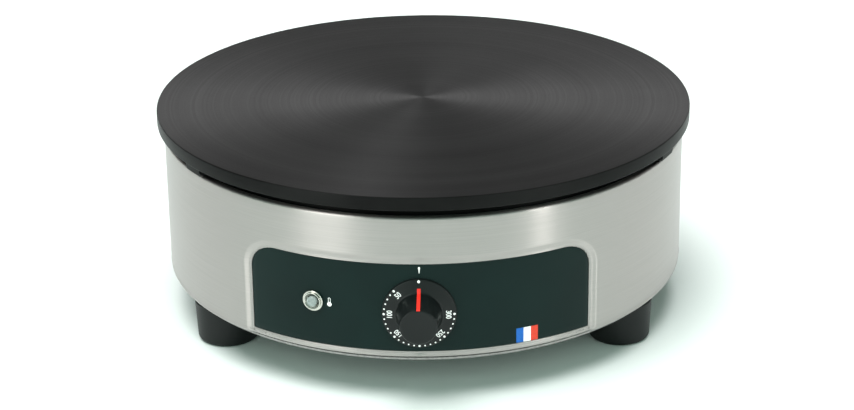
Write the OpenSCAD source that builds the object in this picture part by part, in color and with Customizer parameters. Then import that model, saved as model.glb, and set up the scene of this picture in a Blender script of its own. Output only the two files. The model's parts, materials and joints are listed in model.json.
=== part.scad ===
// Electric crepe maker: a cast griddle plate on a pressed steel drum with three feet,
// heated from below by two tubular elements and set by a thermostat knob.
// Origin on the table under the centre of the plate. The front faces -Y and up is +Z.
// Angles called az are measured round the drum from the front, positive towards +X.

/* [Griddle plate] */
// Diameter of the griddle plate
plate_d = 400; // [380:5:440]
// Height of the plate's rim
rim_h = 10; // [8:0.5:14]
// Chamfer round the cooking face
rim_chamfer = 0.8; // [0.3:0.1:2]
// How far the rim stands out past the drum
rim_overhang = 5; // [3:0.5:8]
// Height of the lugs that carry the plate on the drum
lug_h = 7; // [5:0.5:10]
// Width of each lug round the rim
lug_w = 22; // [14:1:40]
// Depth of the ring under the plate that centres it in the drum
ring_h = 12; // [8:1:14]
// Width of the centring ring
ring_w = 4; // [3:0.5:5]

/* [Drum] */
// Height of the drum
drum_h = 108; // [100:1:130]
// Thickness of the drum's steel sheet
sheet_t = 1.2; // [0.8:0.1:1.5]
// Outer radius of the rolled top edge
top_roll_r = 4; // [3:0.5:6]
// Outer radius of the turned-in bottom edge
bottom_roll_r = 3; // [2.5:0.5:5]
// Width of the flat flange at the top edge
top_flange_w = 3; // [2:0.5:5]

/* [Control panel] */
// Width of the control panel, seen from the front
panel_w = 238; // [220:1:260]
// Height of the control panel
panel_h = 66.5; // [62:0.5:74]
// Thickness of the control panel
panel_t = 1.4; // [1:0.1:2.5]
// Height of the drum's strip under the panel
strip_h = 6.5; // [5:0.5:9]
// Radius of the panel's two upper corners
panel_corner_r = 18; // [10:1:28]
// Width of the pressed border round the panel
border_w = 6.5; // [4:0.5:9]
// Depth of the pressed border below the drum's face
border_depth = 1.6; // [1:0.1:3]
// Depth of the panel's face below the border
panel_sink = 0.2; // [0:0.1:0.8]

/* [Thermostat knob] */
// Radius of the knob's skirt
skirt_r = 26; // [22:0.5:30]
// Radius of the grip where it meets the skirt
grip_base_r = 15.8; // [13:0.1:18]
// Radius of the grip's front
grip_tip_r = 13; // [10:0.5:16]
// Height of the whole knob
knob_h = 25; // [20:0.5:32]
// Wall of the knob
knob_wall = 2; // [1.5:0.1:3]
// Gap between the panel and the knob's back
knob_gap = 0.8; // [0.5:0.1:2]
// Diameter of the thermostat's spindle
spindle_d = 6; // [5:0.5:8]
// How far the spindle reaches into the knob
spindle_grip = 17; // [12:1:19]
// Width of the knob's pointer
pointer_w = 3; // [2:0.2:4]

/* [Pilot light] */
// Angle of the pilot light from the front
pilot_az = -23.1; // [-28:0.1:-20]
// Outer radius of the bezel
bezel_r = 7.25; // [6.75:0.25:9]
// Radius of the lens
lens_r = 3.5; // [3:0.1:3.8]
// How far the lens stands out from the panel
lens_out = 3; // [2:0.5:5]
// Length of the lamp's body behind the panel
lamp_l = 24; // [18:1:40]

/* [Feet and base] */
// Height of the feet
foot_h = 31.5; // [20:0.5:45]
// Radius at the top of a foot
foot_top_r = 24; // [18:0.5:26]
// Radius at the bottom of a foot
foot_bottom_r = 22.5; // [17:0.5:25]
// Rounding of the foot's bottom edge
foot_round = 4; // [2:0.5:6]
// Thickness of the base tray
tray_t = 1.5; // [1:0.1:2]
// How far the base tray's edge lies inside the drum's face
tray_inset = 5; // [4.5:0.5:6]
// Number of vent slots in each ring
vent_count = 18; // [6:1:24]

/* [Heating] */
// Diameter of the tubular elements
element_d = 8.5; // [6.5:0.5:9.5]
// Distance between the two loops of an element
loop_pitch = 20; // [18:1:24]
// Radius of the inner element's outer loop
inner_loop_r = 85; // [70:1:95]
// Thickness of the plate that clamps the elements
clamp_t = 2; // [1.5:0.5:3]
// Thickness of the insulation board
board_t = 13; // [8:1:14]

/* [Cable entry] */
// Height of the cable gland above the table
gland_z = 62; // [55:1:80]
// Radius of the gland's thread
gland_r = 10; // [8:0.5:12.5]
// Radius of the cable's bore through the gland
cable_r = 4.5; // [3:0.5:5]
// Length of the gland's dome nut
dome_l = 18; // [14:1:24]

/* [Hidden] */

// Clearances
slip = 0.2;        // between pieces that lie beside each other
bore_play = 0.3;   // round a screw or bolt in its hole
running_play = 0.08; // round the spindle in its bush
bite = 0.05;       // round a thread in its tapped hole

// Heights, from the table up
z_tray = foot_h;
z_drum = z_tray + tray_t;
z_crest = z_drum + drum_h;
z_under = z_crest + lug_h;
z_top = z_under + rim_h;

// Radii, from the rim inwards
plate_r = plate_d / 2;
drum_r = plate_r - rim_overhang;
opening_r = drum_r - top_roll_r - top_flange_w;
ring_play = 1;
ring_r = opening_r - ring_play;
boss_r = 10;
boss_h = 14;
ring_gap = 5;                    // between the ring and the bosses
ring_chamfer = 1.5;
pillar_circle = ring_r - ring_w - ring_gap - boss_r;
boss_gap = 3.75;                 // between the outer element and the plate's bosses
element_reach = pillar_circle - boss_r - boss_gap;
outer_loop_r = element_reach - element_d / 2;
tray_r = drum_r - tray_inset;
third = [-60, 60, 180];          // azimuths of the lugs, pillars and feet

// Heating stack under the plate
z_element = z_under - slip - element_d / 2;
z_clamp = z_element - element_d / 2 - slip - clamp_t;
clamp_edge = 6;                  // past the middle of the outermost loop
clamp_inner_edge = 15;           // and of the innermost one
clamp_r = outer_loop_r + clamp_edge;
clamp_hole_r = inner_loop_r - loop_pitch - clamp_inner_edge;
clamp_screw_circle = (inner_loop_r + outer_loop_r - loop_pitch) / 2;
clamp_screw_r = 3;
clamp_head_af = 10;
clamp_head_h = 4;
clamp_boss_r = 9;
element_gap = 36;                // half the opening in each element's loops
tail_run = 20;
tail_bend = 12;
joint_step = 0.02;               // the return bend and tails are this much thinner than the loops
joint_lap = 0.3;                 // and run this far into the loops' ends
lap_angle = 2;
shield_t = 1.2;
shield_wall_h = 15;
shoulder_drop = 32;              // from the plate's underside to the shield
tail_below = 14;                 // how far the tails reach below the shield
tail_play = 1;                   // round a tail in the shield
neck_play = 1;                   // round a pillar in the board
ceramic_l = 6;                   // length of a terminal's ceramic bush
pin_r = 2;
pin_l = 18;
z_shield = z_under - shoulder_drop;
shield_r = pillar_circle + boss_r;
tail_end_z = z_shield - tail_below;
board_edge = 7;
board_r = outer_loop_r + board_edge;
board_slot_play = 2;
window_half = element_d / 2 + 2; // the window that lets a tail's bend through the clamp plate

// Tie bolts, pillars and feet
bolt_r = 4;
bolt_head_af = 13;
bolt_head_h = 5.3;
washer_r = 9;
washer_t = 1.5;
pocket_r = 10.5;
pocket_h = 11;
pillar_foot_r = 9;
pillar_neck_r = 7;
z_boss = z_under - boss_h;
pillar_gap = 1.5;
bottom_opening_r = pillar_circle + pillar_foot_r + pillar_gap;

// Base screws
screw_circle = (bottom_opening_r + tray_r) / 2 + 0.8;
screw_az = [for (k = [0:5]) 30 + 60 * k];
screw_r = 2;
screw_l = 8.5;
screw_head_r = 4.2;
screw_head_h = 2.6;
rivet_r = 3.2;
rivet_flange_r = 4.2;
rivet_flange_t = 1;
rivet_h = 6;

// Vent slots in the base tray: two rings of them, the inner one with half as many
vent_circles = [52, 130];
vent_w = 5;
vent_l = 26;

// Control panel
z_panel = z_drum + strip_h;
seat_depth = border_depth + panel_sink + panel_t;
face_r = drum_r - border_depth - panel_sink;
seat_inner_r = drum_r - seat_depth - sheet_t;
panel_fit = 0.3;
knob_over_drum = 37;             // the knob's axis above the drum's bottom
z_knob = z_drum + knob_over_drum;

// Thermostat
spindle_r = spindle_d / 2;
spindle_flat = spindle_r * 0.3;  // how deep the spindle's flat is cut
panel_hole_play = 1.5;           // round the spindle in the panel
panel_hole_r = spindle_r + panel_hole_play;
bush_r = 5.2;
bush_l = 4;
bracket_t = 1.2;
weld_gap = 0.1;
bracket_back = 10;               // from the drum's inner face to the bracket
bracket_w = 66;
bracket_h = 44;
pad_w = 15;
y_bracket = -(seat_inner_r - bracket_back);
stat_w = 42;
stat_h = 38;
stat_d = 24;
y_stat = y_bracket + bracket_t;
stat_screw_pitch = 28;
stat_screw_l = 8.5;
stat_screw_depth = 9;
stat_head_r = 3.5;
stat_head_h = 2.4;
stat_bore_end = stat_d / 2;      // depth of the spindle's bore in the body
tab_pitch = 12;
tab_drop = 8;                    // from the spindle's axis down to the tabs
tab_w = 6.3;
tab_t = 0.8;
tab_l = 10;
z_tab = z_knob - tab_drop;
y_tab_end = y_stat + stat_d + tab_l;
y_knob = -(face_r + knob_gap);

// Sensor bulb on the griddle plate, and its capillary
bulb_r = 3;
bulb_l = 76;
y_bulb = -clamp_screw_circle;
z_bulb = z_under - slip - bulb_r;
bulb_clip_l = 8;
bulb_clip_t = 0.8;
bulb_clip_half = [9, 5, 3];      // half widths: of its foot, of its step and of its top
capillary_r = 1;
capillary_bend = 5;
capillary_run = 14;              // from the bulb's end to the bend down
capillary_x = bulb_l / 2 + capillary_run;
y_capillary = -tenths(sqrt(pow(clamp_screw_circle, 2) - pow(capillary_x, 2))); // halfway between the loops
capillary_window_r = 4;
capillary_hole_r = 2.5;

// Knob
skirt_h = 2.5;
skirt_chamfer = 0.8;
dial_rise = 2;                   // how far the dial slopes up from the skirt to the grip
z_dial = skirt_h + dial_rise;
grip_round = 1.6;
grip_fillet = 1.5;               // where the grip rises from the dial
hub_wall = 3;
hub_r = spindle_r + hub_wall;
clip_t = 0.4;
clip_w = 3;
clip_l = 9;
clip_start = 2;
pointer_on_skirt = 3.8;          // how far the pointer reaches out over the skirt
pointer_on_tip = 1.5;            // and in over the grip's front
pointer_skirt_r = grip_base_r + pointer_on_skirt;
pointer_out = 0.25;
pointer_depth = 0.8;
pointer_play = 0.05;

// Pilot light
bezel_ledge = 2.65;              // how far the bezel reaches over the lamp's hole
lamp_r = bezel_r - bezel_ledge;
bezel_t = 1.6;
bezel_chamfer = 0.5;
collar_t = 1;
collar_step = 1.2;
collar_slope = 0.3;
collar_r = bezel_r - collar_step;
lamp_out = 0.6;                  // how far the lamp's body stands out of the panel
lens_seat = 8;
lens_dome_h = 1;
nut_t = 3;
nut_wall = 2;

// Cable entry
gland_af = 24;
gland_hex_t = 6;
gland_in = 14;
lock_nut_af = 26;
lock_nut_t = 5;
dome_r = gland_r + 1.5;
gland_wall = 2.5;
seal_r = gland_r - gland_wall;
seal_l = 10;
seal_play = 0.3;                 // round the cable in the seal
seal_z = gland_hex_t - 2;
nose_r = gland_r - 1;            // the thread for the dome nut
nose_l = 7;
nose_play = 1.5;                 // between the nose's end and the dome nut
dome_round = 8;

// Terminal block
block_size = [48, 22, 18];
block_at = [62, 96];
pole_pitch = 14;
pole_screw_r = 2;
pole_screw_side = 6;             // from the block's middle to its clamp screws
block_screw_r = 1.5;
block_head_r = 2.8;
block_head_h = 2;

// Leads and the earth stud
wire_r = 1.6;
wire_hole_r = 2.2;
wire_bend = 5;
wire_above = 8;                  // height of the leads over the drum's bottom
z_wire = z_drum + wire_above;
earth_at = [-70, 112];
earth_r = 2.5;
earth_l = 16;
earth_flange_r = 6;
earth_flange_t = 2.2;
earth_nut_af = 8;
earth_nut_h = 4;

// Facets of the drawn curves
fn_big = 180;
fn_mid = 64;
fn_small = 32;
round_steps = 6;                 // flats in a rounded corner

cast_iron = [0.17, 0.17, 0.18];
stainless = [0.78, 0.77, 0.75];
zinc = [0.70, 0.71, 0.73];
black_plastic = [0.09, 0.10, 0.10];

// ---------------------------------------------------------------- helpers

// Puts something round the drum: az from the front, r from the axis
module round_at(az, r) {
    rotate([0, 0, az]) translate([0, -r, 0]) children();
}

// A stretch of a ring: the section is drawn with the radius to the right
module ring_stretch(az, sweep) {
    rotate([0, 0, az - 90 - sweep / 2]) rotate_extrude(angle = sweep, $fn = fn_big) children();
}

// Stands a piece that points up so that it points out of the front
module facing_front(y, z) {
    translate([0, y, z]) rotate([90, 0, 0]) children();
}

// The same at any place round the drum
module facing_out(az, r, z) {
    rotate([0, 0, az]) translate([0, -r, z]) rotate([90, 0, 0]) children();
}

module tube(r_out, r_in, z0, z1) {
    difference() {
        translate([0, 0, z0]) cylinder(r = r_out, h = z1 - z0, $fn = fn_mid);
        translate([0, 0, z0 - 1]) cylinder(r = r_in, h = z1 - z0 + 2, $fn = fn_mid);
    }
}

module hexagon(af, h) {
    cylinder(r = af / sqrt(3), h = h, $fn = 6);
}

function unit(v) = v / norm(v);
function tenths(x) = round(10 * x) / 10;
function turn(a, b) = acos(max(-1, min(1, a * b)));

// Points that round the corner at p, on the way from a to b, with radius r
function rounded(p, a, b, r) = let (to_a = unit(a - p), to_b = unit(b - p),
    half = turn(to_a, to_b) / 2,
    middle = p + unit(to_a + to_b) * r / sin(half),
    start = p + to_a * r / tan(half) - middle,
    way = cross(to_b, to_a) > 0 ? 1 : -1)
    [for (k = [0:round_steps]) let (w = way * (180 - 2 * half) * k / round_steps)
        middle + [start.x * cos(w) - start.y * sin(w), start.x * sin(w) + start.y * cos(w)]];

// A straight round bar between two points
module bar(p, q, r) {
    d = q - p;
    translate(p) rotate([0, acos(d.z / norm(d)), atan2(d.y, d.x)])
        cylinder(r = r, h = norm(d), $fn = fn_small);
}

// A round bar along several points, bent to an arc at each inner point
module bent_bar(points, r, bend) {
    last = len(points) - 1;
    dirs = [for (i = [0:last - 1]) unit(points[i + 1] - points[i])];
    cut = [for (i = [0:last])
        i == 0 || i == last ? 0 : bend * tan(turn(dirs[i - 1], dirs[i]) / 2)];
    for (i = [0:last - 1])
        bar(points[i] + dirs[i] * cut[i], points[i + 1] - dirs[i] * cut[i + 1], r);
    for (i = [1:1:last - 1]) {
        a = dirs[i - 1];
        b = dirs[i];
        side = unit(b - a * (a * b));
        start = points[i] - a * cut[i];
        middle = start + side * bend;
        up = cross(a, side);
        multmatrix([[-side.x, a.x, up.x, middle.x], [-side.y, a.y, up.y, middle.y],
                [-side.z, a.z, up.z, middle.z], [0, 0, 0, 1]])
            rotate_extrude(angle = turn(a, b), $fn = fn_mid)
                translate([bend, 0]) circle(r, $fn = fn_small);
    }
}

// Half section of a disc with a rounded lower and upper edge
module disc_section(r, z0, z1, low, high) {
    lap = 0.5;
    translate([0, z0 + low]) square([r, z1 - z0 - low - high]);
    translate([0, z0]) square([r - low, low + lap]);
    translate([0, z1 - high - lap]) square([r - high, high + lap]);
    translate([r - low, z0 + low]) circle(low, $fn = fn_small);
    translate([r - high, z1 - high]) circle(high, $fn = fn_small);
}

// ---------------------------------------------------------------- drum and panel

// Outline of the panel seen from the front, with its upper corners rounded
module panel_outline(grow) {
    half = panel_w / 2 + grow;
    low = z_panel - grow;
    high = z_panel + panel_h + grow;
    r = panel_corner_r + grow;
    translate([-half, low]) square([2 * half, high - low - r]);
    translate([-half + r, low]) square([2 * (half - r), high - low]);
    for (side = [-1, 1]) translate([side * (half - r), high - r]) circle(r, $fn = fn_mid);
}

// The border runs round the panel and out through the drum's lower edge
module border_outline(grow) {
    half = panel_w / 2 + border_w + grow;
    panel_outline(border_w + grow);
    translate([-half, 0]) square([2 * half, z_panel]);
}

module front_prism() {
    rotate([90, 0, 0]) linear_extrude(plate_r) children();
}

// A plain drum, its faces moved in by inset and its wall by depth more
module plain_drum(depth, inset) {
    rotate_extrude($fn = fn_big)
        disc_section(drum_r - depth - inset, z_drum + inset, z_crest - inset,
            bottom_roll_r - inset, top_roll_r - inset);
}

// The drum as a solid, with its front pressed in for the border and for the panel
module pressed_drum(inset) {
    difference() {
        plain_drum(0, inset);
        difference() {
            front_prism() border_outline(inset);
            plain_drum(border_depth, inset);
        }
        difference() {
            front_prism() panel_outline(inset);
            plain_drum(seat_depth, inset);
        }
    }
}

module body_shell() color(stainless) difference() {
    pressed_drum(0);
    pressed_drum(sheet_t);
    translate([0, 0, z_crest - 2 * sheet_t])
        cylinder(r = opening_r, h = 4 * sheet_t, $fn = fn_big);
    translate([0, 0, z_drum - 2 * sheet_t])
        cylinder(r = bottom_opening_r, h = 4 * sheet_t, $fn = fn_big);
    for (az = screw_az) round_at(az, screw_circle)
        translate([0, 0, z_drum - 1]) cylinder(r = rivet_r + slip, h = sheet_t + 2, $fn = fn_small);
    panel_holes();
    rotate([-90, 0, 0]) translate([0, -gland_z, seat_inner_r])
        cylinder(r = gland_r + slip, h = plate_r - seat_inner_r, $fn = fn_mid);
}

// Holes through the panel and the drum behind it
module panel_holes() {
    facing_front(-seat_inner_r + 5, z_knob)
        cylinder(r = panel_hole_r, h = plate_r - seat_inner_r + 5, $fn = fn_mid);
    facing_out(pilot_az, seat_inner_r - 5, z_knob)
        cylinder(r = lamp_r + slip, h = plate_r - seat_inner_r + 5, $fn = fn_mid);
}

module control_panel() color(black_plastic) difference() {
    intersection() {
        front_prism() panel_outline(-panel_fit);
        plain_drum(border_depth + panel_sink, 0);
    }
    plain_drum(seat_depth, 0);
    panel_holes();
}

// ---------------------------------------------------------------- griddle plate

module griddle_plate() color(cast_iron) difference() {
    union() {
        rotate_extrude($fn = fn_big) polygon([[0, z_under], [plate_r - rim_chamfer, z_under],
            [plate_r, z_under + rim_chamfer], [plate_r, z_top - rim_chamfer],
            [plate_r - rim_chamfer, z_top], [0, z_top]]);
        rotate_extrude($fn = fn_big) polygon([[ring_r - ring_w, z_under + 1],
            [ring_r, z_under + 1], [ring_r, z_under - ring_h + ring_chamfer],
            [ring_r - ring_chamfer, z_under - ring_h], [ring_r - ring_w, z_under - ring_h]]);
        for (az = third) {
            plate_lug(az);
            round_at(az, pillar_circle) translate([0, 0, z_boss])
                cylinder(r = boss_r, h = boss_h + 1, $fn = fn_mid);
        }
        clamp_places() translate([0, 0, z_clamp + clamp_t])
            cylinder(r = clamp_boss_r, h = z_under - z_clamp - clamp_t + 1, $fn = fn_mid);
    }
    for (az = third) round_at(az, pillar_circle) translate([0, 0, z_boss - 1])
        cylinder(r = bolt_r + bite, h = boss_h + 3, $fn = fn_mid);
    clamp_places() translate([0, 0, z_clamp])
        cylinder(r = clamp_screw_r + bite, h = z_under - z_clamp + 1, $fn = fn_small);
}

// A lug under the rim, flush with it, that rests on the drum's top flange
module plate_lug(az) {
    ease = 2;
    ring_stretch(az, lug_w / plate_r * 180 / PI) polygon([[opening_r, z_crest],
        [plate_r - ease, z_crest], [plate_r, z_crest + ease],
        [plate_r, z_under + 1], [opening_r, z_under + 1]]);
}

module clamp_places() {
    for (az = [45:90:315]) round_at(az, clamp_screw_circle) children();
}

// ---------------------------------------------------------------- heating

// Azimuth of the ends of an element's loops, in whole degrees
function gap_az(r) = round(180 - asin(element_gap / (r - loop_pitch / 2)));

// Stands at the end of a loop, with -X along the loop's cold tail
module loop_end(r, loop_r) {
    round_at(-gap_az(r), loop_r) children();
}

// One element: two loops joined by a return bend, with two cold tails that turn down
module heating_element(r) {
    az = gap_az(r);
    for (loop_r = [r, r - loop_pitch]) {
        ring_stretch(0, 2 * az) translate([loop_r, z_element]) circle(element_d / 2, $fn = fn_small);
        loop_end(r, loop_r) bent_bar([[joint_lap, 0, z_element], [-tail_run, 0, z_element],
            [-tail_run, 0, tail_end_z]], element_d / 2 - joint_step, tail_bend);
    }
    rotate([0, 0, az - 90]) translate([r - loop_pitch / 2, 0, z_element]) rotate([0, 0, -lap_angle])
        rotate_extrude(angle = 180 + 2 * lap_angle, $fn = fn_mid)
            translate([loop_pitch / 2, 0]) circle(element_d / 2 - joint_step, $fn = fn_small);
}

module outer_heating_element() color([0.30, 0.27, 0.25]) heating_element(outer_loop_r);

module inner_heating_element() color([0.30, 0.27, 0.25]) heating_element(inner_loop_r);

// Calls its children at each of the four cold tails
module tail_places() {
    for (r = [outer_loop_r, inner_loop_r]) for (loop_r = [r, r - loop_pitch])
        loop_end(r, loop_r) translate([-tail_run, 0, 0]) children();
}

// A ceramic bush and a threaded pin below each cold tail
module element_terminals() color([0.92, 0.90, 0.84]) tail_places() {
    translate([0, 0, tail_end_z - ceramic_l])
        cylinder(r = element_d / 2, h = ceramic_l, $fn = fn_small);
    translate([0, 0, tail_end_z - pin_l]) cylinder(r = pin_r, h = pin_l, $fn = fn_small);
}

module element_clamp_plate() color(zinc) difference() {
    tube(clamp_r, clamp_hole_r, z_clamp, z_clamp + clamp_t);
    clamp_places() translate([0, 0, z_clamp - 1])
        cylinder(r = clamp_screw_r + bore_play, h = clamp_t + 2, $fn = fn_small);
    tail_places() translate([-window_half, -window_half, z_clamp - 1])
        cube([window_half + tail_bend, 2 * window_half, clamp_t + 2]);
    capillary_hole(capillary_window_r);
}

module clamp_screws() color(zinc) clamp_places() {
    translate([0, 0, z_clamp - clamp_head_h]) hexagon(clamp_head_af, clamp_head_h);
    translate([0, 0, z_clamp - 1])
        cylinder(r = clamp_screw_r, h = z_under - z_clamp, $fn = fn_small);
}

module insulation_board() color([0.93, 0.91, 0.84]) difference() {
    translate([0, 0, z_shield + shield_t]) cylinder(r = board_r, h = board_t, $fn = fn_big);
    tail_places() translate([0, 0, z_shield])
        cylinder(r = element_d / 2 + board_slot_play, h = board_t + 3, $fn = fn_small);
    capillary_hole(capillary_hole_r);
    for (az = third) round_at(az, pillar_circle) translate([0, 0, z_shield])
        cylinder(r = pillar_neck_r + neck_play, h = board_t + 3, $fn = fn_mid);
}

module heat_shield() color([0.72, 0.73, 0.74]) difference() {
    translate([0, 0, z_shield]) cylinder(r = shield_r, h = shield_wall_h, $fn = fn_big);
    translate([0, 0, z_shield + shield_t])
        cylinder(r = shield_r - shield_t, h = shield_wall_h, $fn = fn_big);
    for (az = third) round_at(az, pillar_circle) translate([0, 0, z_shield - 1])
        cylinder(r = pillar_neck_r + slip, h = shield_t + 2, $fn = fn_mid);
    tail_places() translate([0, 0, z_shield - 1])
        cylinder(r = element_d / 2 + tail_play, h = shield_t + 2, $fn = fn_small);
    capillary_hole(capillary_hole_r);
}

// ---------------------------------------------------------------- structure

module support_pillars() color(zinc) for (az = third) round_at(az, pillar_circle) {
    difference() {
        union() {
            translate([0, 0, z_drum]) cylinder(r = pillar_foot_r, h = z_shield - z_drum, $fn = fn_mid);
            translate([0, 0, z_drum]) cylinder(r = pillar_neck_r, h = z_boss - z_drum, $fn = fn_mid);
        }
        translate([0, 0, z_drum - 1])
            cylinder(r = bolt_r + bore_play, h = z_boss - z_drum + 2, $fn = fn_mid);
    }
}

module tie_bolts() color(zinc) for (az = third) round_at(az, pillar_circle) {
    translate([0, 0, pocket_h - washer_t - bolt_head_h]) hexagon(bolt_head_af, bolt_head_h);
    translate([0, 0, pocket_h - washer_t - 1])
        cylinder(r = bolt_r, h = z_under - pocket_h + washer_t, $fn = fn_mid);
}

module tie_bolt_washers() color(zinc) for (az = third) round_at(az, pillar_circle)
    tube(washer_r, bolt_r + bore_play, pocket_h - washer_t, pocket_h);

// A tapered foot with a rounded bottom edge and a pocket for the bolt's head
module foot(az) color([0.10, 0.10, 0.11]) round_at(az, pillar_circle) difference() {
    rotate_extrude($fn = fn_mid) {
        polygon([[0, 0], [foot_bottom_r - foot_round, 0], [foot_bottom_r - foot_round, foot_round],
            [foot_bottom_r, foot_round], [foot_top_r, foot_h], [0, foot_h]]);
        translate([foot_bottom_r - foot_round, foot_round]) circle(foot_round, $fn = fn_small);
    }
    translate([0, 0, -1]) cylinder(r = pocket_r, h = pocket_h + 1, $fn = fn_mid);
    cylinder(r = bolt_r + bore_play, h = foot_h + 1, $fn = fn_mid);
}

module foot_left() foot(third[0]);
module foot_right() foot(third[1]);
module foot_rear() foot(third[2]);

// Ring of slots with round ends
module vent_ring(r, count) {
    straight = vent_l - vent_w;
    for (k = [0:count - 1]) round_at(360 * (k + 0.5) / count, r)
        translate([0, 0, z_tray - 1]) linear_extrude(tray_t + 2) {
            square([vent_w, straight], center = true);
            for (side = [-1, 1]) translate([0, side * straight / 2])
                circle(vent_w / 2, $fn = fn_small);
        }
}

module base_tray() color(stainless) difference() {
    translate([0, 0, z_tray]) cylinder(r = tray_r, h = tray_t, $fn = fn_big);
    for (az = third) round_at(az, pillar_circle) translate([0, 0, z_tray - 1])
        cylinder(r = bolt_r + bore_play, h = tray_t + 2, $fn = fn_mid);
    for (az = screw_az) round_at(az, screw_circle) translate([0, 0, z_tray - 1])
        cylinder(r = screw_r + bore_play, h = tray_t + 2, $fn = fn_small);
    vent_ring(vent_circles[0], floor(vent_count / 2));
    vent_ring(vent_circles[1], vent_count);
}

// Domed screws under the tray's edge
module base_screws() color(zinc) for (az = screw_az) round_at(az, screw_circle) {
    dome = (pow(screw_head_r, 2) + pow(screw_head_h, 2)) / (2 * screw_head_h);
    translate([0, 0, z_tray - screw_head_h]) rotate_extrude($fn = fn_small) intersection() {
        translate([0, dome]) circle(dome, $fn = fn_mid);
        square([dome, screw_head_h]);
    }
    translate([0, 0, z_tray - 1]) cylinder(r = screw_r, h = screw_l + 1, $fn = fn_small);
}

// Rivet nuts set in the drum's lower flange
module base_rivet_nuts() color(zinc) for (az = screw_az) round_at(az, screw_circle) difference() {
    union() {
        translate([0, 0, z_drum]) cylinder(r = rivet_r, h = rivet_h, $fn = fn_small);
        translate([0, 0, z_drum + sheet_t])
            cylinder(r = rivet_flange_r, h = rivet_flange_t, $fn = fn_small);
    }
    translate([0, 0, z_drum - 1]) cylinder(r = screw_r + bite, h = rivet_h + 2, $fn = fn_small);
}

// ---------------------------------------------------------------- pilot light

module pilot_at() facing_out(pilot_az, face_r, z_knob) children();

module pilot_bezel() color([0.86, 0.86, 0.87]) pilot_at() rotate_extrude($fn = fn_mid)
    polygon([[lamp_r + slip, slip], [bezel_r, slip], [bezel_r, bezel_t - bezel_chamfer],
        [bezel_r - bezel_chamfer, bezel_t], [collar_r, bezel_t],
        [collar_r - collar_slope, bezel_t + collar_t], [lamp_r + slip, bezel_t + collar_t]]);

module pilot_lens() color([0.88, 0.90, 0.90]) pilot_at() rotate_extrude($fn = fn_mid)
    intersection() {
        translate([0, -lens_seat]) square([lens_r, lens_seat + lens_out]);
        union() {
            translate([0, lens_out - 2 * lens_r]) circle(2 * lens_r, $fn = fn_mid);
            translate([0, -lens_seat]) square([lens_r, lens_seat + lens_out - lens_dome_h]);
        }
    }

module pilot_lamp_body() color(black_plastic) pilot_at() difference() {
    translate([0, 0, -lamp_l]) cylinder(r = lamp_r, h = lamp_l + lamp_out, $fn = fn_mid);
    translate([0, 0, -lens_seat - slip])
        cylinder(r = lens_r + slip, h = lens_seat + 2 * lens_r, $fn = fn_mid);
}

module pilot_nut() color(zinc)
    facing_out(pilot_az, seat_inner_r - slip - nut_t, z_knob) difference() {
        hexagon(2 * (lamp_r + nut_wall), nut_t);
        translate([0, 0, -1]) cylinder(r = lamp_r + bite, h = nut_t + 2, $fn = fn_mid);
    }

// ---------------------------------------------------------------- thermostat

// A bridge inside the front wall; its two curved pads are spot-welded to the drum
module thermostat_bracket() color(zinc) {
    low = z_knob - bracket_h / 2;
    pad_az = asin(bracket_w / 2 / seat_inner_r);
    pad_sweep = pad_w / seat_inner_r * 180 / PI;
    difference() {
        translate([-bracket_w / 2, y_bracket, low]) cube([bracket_w, bracket_t, bracket_h]);
        facing_front(y_stat + 1, z_knob) cylinder(r = bush_r + slip, h = bracket_t + 2, $fn = fn_mid);
        stat_screw_places() facing_front(y_stat + 1, z_knob)
            cylinder(r = screw_r + bore_play, h = bracket_t + 2, $fn = fn_small);
    }
    for (side = [-1, 1]) {
        intersection() {
            translate([side * (bracket_w / 2 - bracket_t / 2) - bracket_t / 2, -seat_inner_r, low])
                cube([bracket_t, seat_inner_r + y_stat, bracket_h]);
            cylinder(r = seat_inner_r - bracket_t / 2, h = z_crest, $fn = fn_big);
        }
        ring_stretch(side * (pad_az + pad_sweep / 2 - 0.3), pad_sweep)
            translate([seat_inner_r - weld_gap - bracket_t, low]) square([bracket_t, bracket_h]);
    }
}

module stat_screw_places() {
    for (side = [-1, 1]) translate([side * stat_screw_pitch / 2, 0, 0]) children();
}

module thermostat_body() color([0.20, 0.16, 0.13]) difference() {
    union() {
        translate([-stat_w / 2, y_stat, z_knob - stat_h / 2]) cube([stat_w, stat_d, stat_h]);
        facing_front(y_stat + 1, z_knob) cylinder(r = bush_r, h = bush_l + 1, $fn = fn_mid);
    }
    facing_front(y_stat + stat_bore_end, z_knob)
        cylinder(r = spindle_r + running_play, h = stat_d, $fn = fn_mid);
    stat_screw_places() facing_front(y_stat + stat_screw_depth, z_knob)
        cylinder(r = screw_r + bite, h = stat_screw_depth + 1, $fn = fn_small);
}

module thermostat_screws() color(zinc) stat_screw_places() {
    facing_front(y_bracket, z_knob) cylinder(r = stat_head_r, h = stat_head_h, $fn = fn_small);
    facing_front(y_bracket + stat_screw_l, z_knob)
        cylinder(r = screw_r, h = stat_screw_l + 1, $fn = fn_small);
}

// Blade tabs at the thermostat's back
module thermostat_tabs() color([0.80, 0.68, 0.40])
    for (k = [-1:1]) translate([k * tab_pitch - tab_w / 2, y_stat + stat_d, z_tab])
        cube([tab_w, tab_l, tab_t]);

module thermostat_spindle() color(zinc) difference() {
    back = y_stat + stat_bore_end - bore_play;
    facing_front(back, z_knob)
        cylinder(r = spindle_r, h = back - y_knob + spindle_grip, $fn = fn_mid);
    translate([-spindle_r, y_knob - spindle_grip - 1, z_knob + spindle_r - spindle_flat])
        cube([2 * spindle_r, spindle_grip + 1, spindle_r]);
}

// ---------------------------------------------------------------- sensor

module sensor_bulb() color([0.80, 0.50, 0.33])
    bar([-bulb_l / 2, y_bulb, z_bulb], [bulb_l / 2, y_bulb, z_bulb], bulb_r);

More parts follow.
